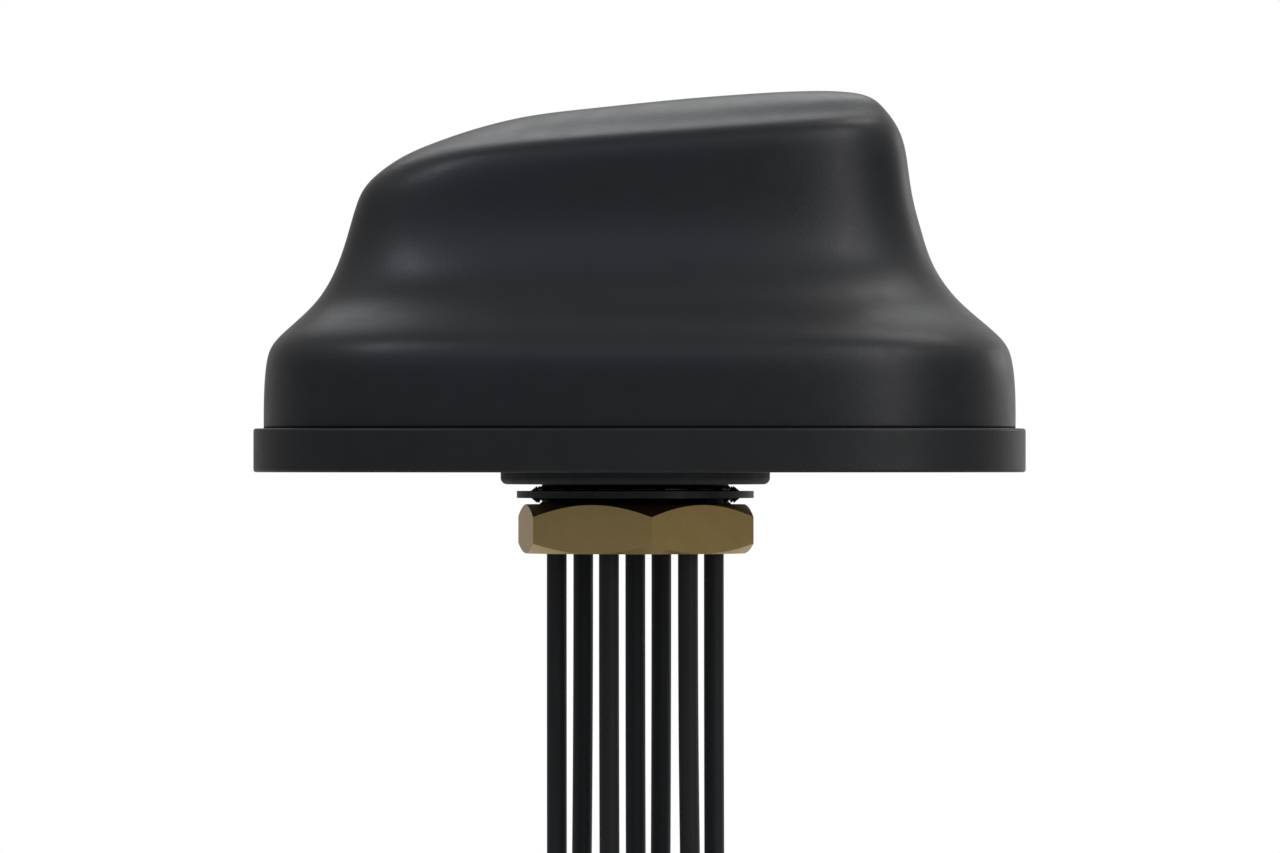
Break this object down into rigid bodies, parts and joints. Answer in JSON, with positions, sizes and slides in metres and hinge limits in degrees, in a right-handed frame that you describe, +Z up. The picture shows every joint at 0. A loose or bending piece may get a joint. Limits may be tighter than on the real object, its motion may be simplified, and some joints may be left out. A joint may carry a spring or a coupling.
{
  "type": "gnss receiver antenna",
  "caption": "Roof-mounted combination antenna: a black sloping radome on an oval flange, a hollow threaded stud with gasket, lock washer and brass nut, and hanging coaxial leads.",
  "frame": {"origin": "on the mounting stud's axis, in the plane of the flange's underside", "axes": "+Z up out of the roof, +X along the flange towards the radome's tall end"},
  "size_m": [0.1432, 0.084, 0.4089],
  "materials": {
    "radome_plastic": "satin black moulded plastic with a very fine texture",
    "tray_plastic": "satin black moulded plastic",
    "seal_rubber": "soft silicone",
    "stud_metal": "black plated thread",
    "gasket_rubber": "dull rubber",
    "washer_metal": "black oxide spring steel",
    "nut_brass": "satin machined brass",
    "grommet_rubber": "dull rubber",
    "screw_steel": "zinc plated",
    "plate_aluminium": "brushed sheet",
    "clamp_plastic": "natural nylon",
    "circuit_board": "green solder mask",
    "patch_ceramic": "fired ceramic",
    "silver_foil": "silver print",
    "tinned_steel": "bright tin",
    "standoff_brass": "turned brass",
    "lead_jacket": "black cable jacket, slight sheen",
    "plug_brass": "gold plated",
    "plug_nickel": "nickel plated",
    "plug_ptfe": "white fluoroplastic",
    "plug_gold": "gold plated",
    "sleeve_plastic": "heat-shrunk black tube"
  },
  "bodies": {
    "antenna": {"radome": "radome_plastic", "base_tray": "tray_plastic", "perimeter_seal": "seal_rubber", "mounting_stud": "stud_metal", "stud_gasket": "gasket_rubber", "cable_grommet": "grommet_rubber", "radome_screws": "screw_steel", "ground_plate": "plate_aluminium", "ground_plate_screws": "screw_steel", "lead_clamp": "clamp_plastic", "clamp_screws": "screw_steel", "gnss_board": "circuit_board", "gnss_patch": "patch_ceramic", "gnss_patch_electrode": "silver_foil", "gnss_feed_pin": "silver_foil", "gnss_shield_can": "tinned_steel", "gnss_standoffs": "standoff_brass", "cellular_board_1": "circuit_board", "cellular_board_2": "circuit_board", "cellular_board_3": "circuit_board", "cellular_board_4": "circuit_board", "cellular_brackets": "tinned_steel", "wifi_board_1": "circuit_board", "wifi_board_2": "circuit_board", "wifi_brackets": "tinned_steel", "gnss_inner_coax": "lead_jacket", "cellular_inner_coax": "lead_jacket", "wifi_inner_coax": "lead_jacket", "lead_1": "lead_jacket", "plug_body_1": "plug_brass", "lead_2": "lead_jacket", "plug_body_2": "plug_brass", "lead_3": "lead_jacket", "plug_body_3": "plug_brass", "lead_4": "lead_jacket", "plug_body_4": "plug_brass", "lead_5": "lead_jacket", "plug_body_5": "plug_brass", "lead_6": "lead_jacket", "plug_body_6": "plug_brass", "lead_7": "lead_jacket", "plug_body_7": "plug_brass", "plug_insulators": "plug_ptfe", "plug_pins": "plug_gold", "plug_sleeves": "sleeve_plastic"},
    "washer": {"lock_washer": "washer_metal"},
    "nut": {"hex_nut": "nut_brass"},
    "coupling_1": {"coupling_nut_1": "plug_nickel"},
    "coupling_2": {"coupling_nut_2": "plug_nickel"},
    "coupling_3": {"coupling_nut_3": "plug_nickel"},
    "coupling_4": {"coupling_nut_4": "plug_nickel"},
    "coupling_5": {"coupling_nut_5": "plug_nickel"},
    "coupling_6": {"coupling_nut_6": "plug_nickel"},
    "coupling_7": {"coupling_nut_7": "plug_nickel"}
  },
  "joints": [
    {"name": "washer_travel", "type": "slide", "parent": "antenna", "child": "washer", "axis": [0, 0, -1], "range_m": [0, 0.005]},
    {"name": "nut_turn", "type": "hinge", "parent": "washer", "child": "nut", "pos_m": [0, 0, -0.0105], "axis": [0, 0, -1], "range_deg": [0, 1200.5]},
    {"name": "coupling_turn_1", "type": "hinge", "parent": "antenna", "child": "coupling_1", "pos_m": [-0.02059, 0.0006, -0.3332], "axis": [0, 0, 1], "continuous": true},
    {"name": "coupling_turn_2", "type": "hinge", "parent": "antenna", "child": "coupling_2", "pos_m": [-0.01221, 0.01227, -0.3332], "axis": [0, 0, 1], "continuous": true},
    {"name": "coupling_turn_3", "type": "hinge", "parent": "antenna", "child": "coupling_3", "pos_m": [-0.00742, -0.01215, -0.3332], "axis": [0, 0, 1], "continuous": true},
    {"name": "coupling_turn_4", "type": "hinge", "parent": "antenna", "child": "coupling_4", "pos_m": [-0.00048, 0.00024, -0.3332], "axis": [0, 0, 1], "continuous": true},
    {"name": "coupling_turn_5", "type": "hinge", "parent": "antenna", "child": "coupling_5", "pos_m": [0.00754, 0.01209, -0.3332], "axis": [0, 0, 1], "continuous": true},
    {"name": "coupling_turn_6", "type": "hinge", "parent": "antenna", "child": "coupling_6", "pos_m": [0.01149, -0.01192, -0.3332], "axis": [0, 0, 1], "continuous": true},
    {"name": "coupling_turn_7", "type": "hinge", "parent": "antenna", "child": "coupling_7", "pos_m": [0.01999, -0.0003, -0.3332], "axis": [0, 0, 1], "continuous": true}
  ],
  "couplings": [
    {"joint": "nut_turn", "follows": "washer_travel", "rad_per_m": 4188.8}
  ]
}
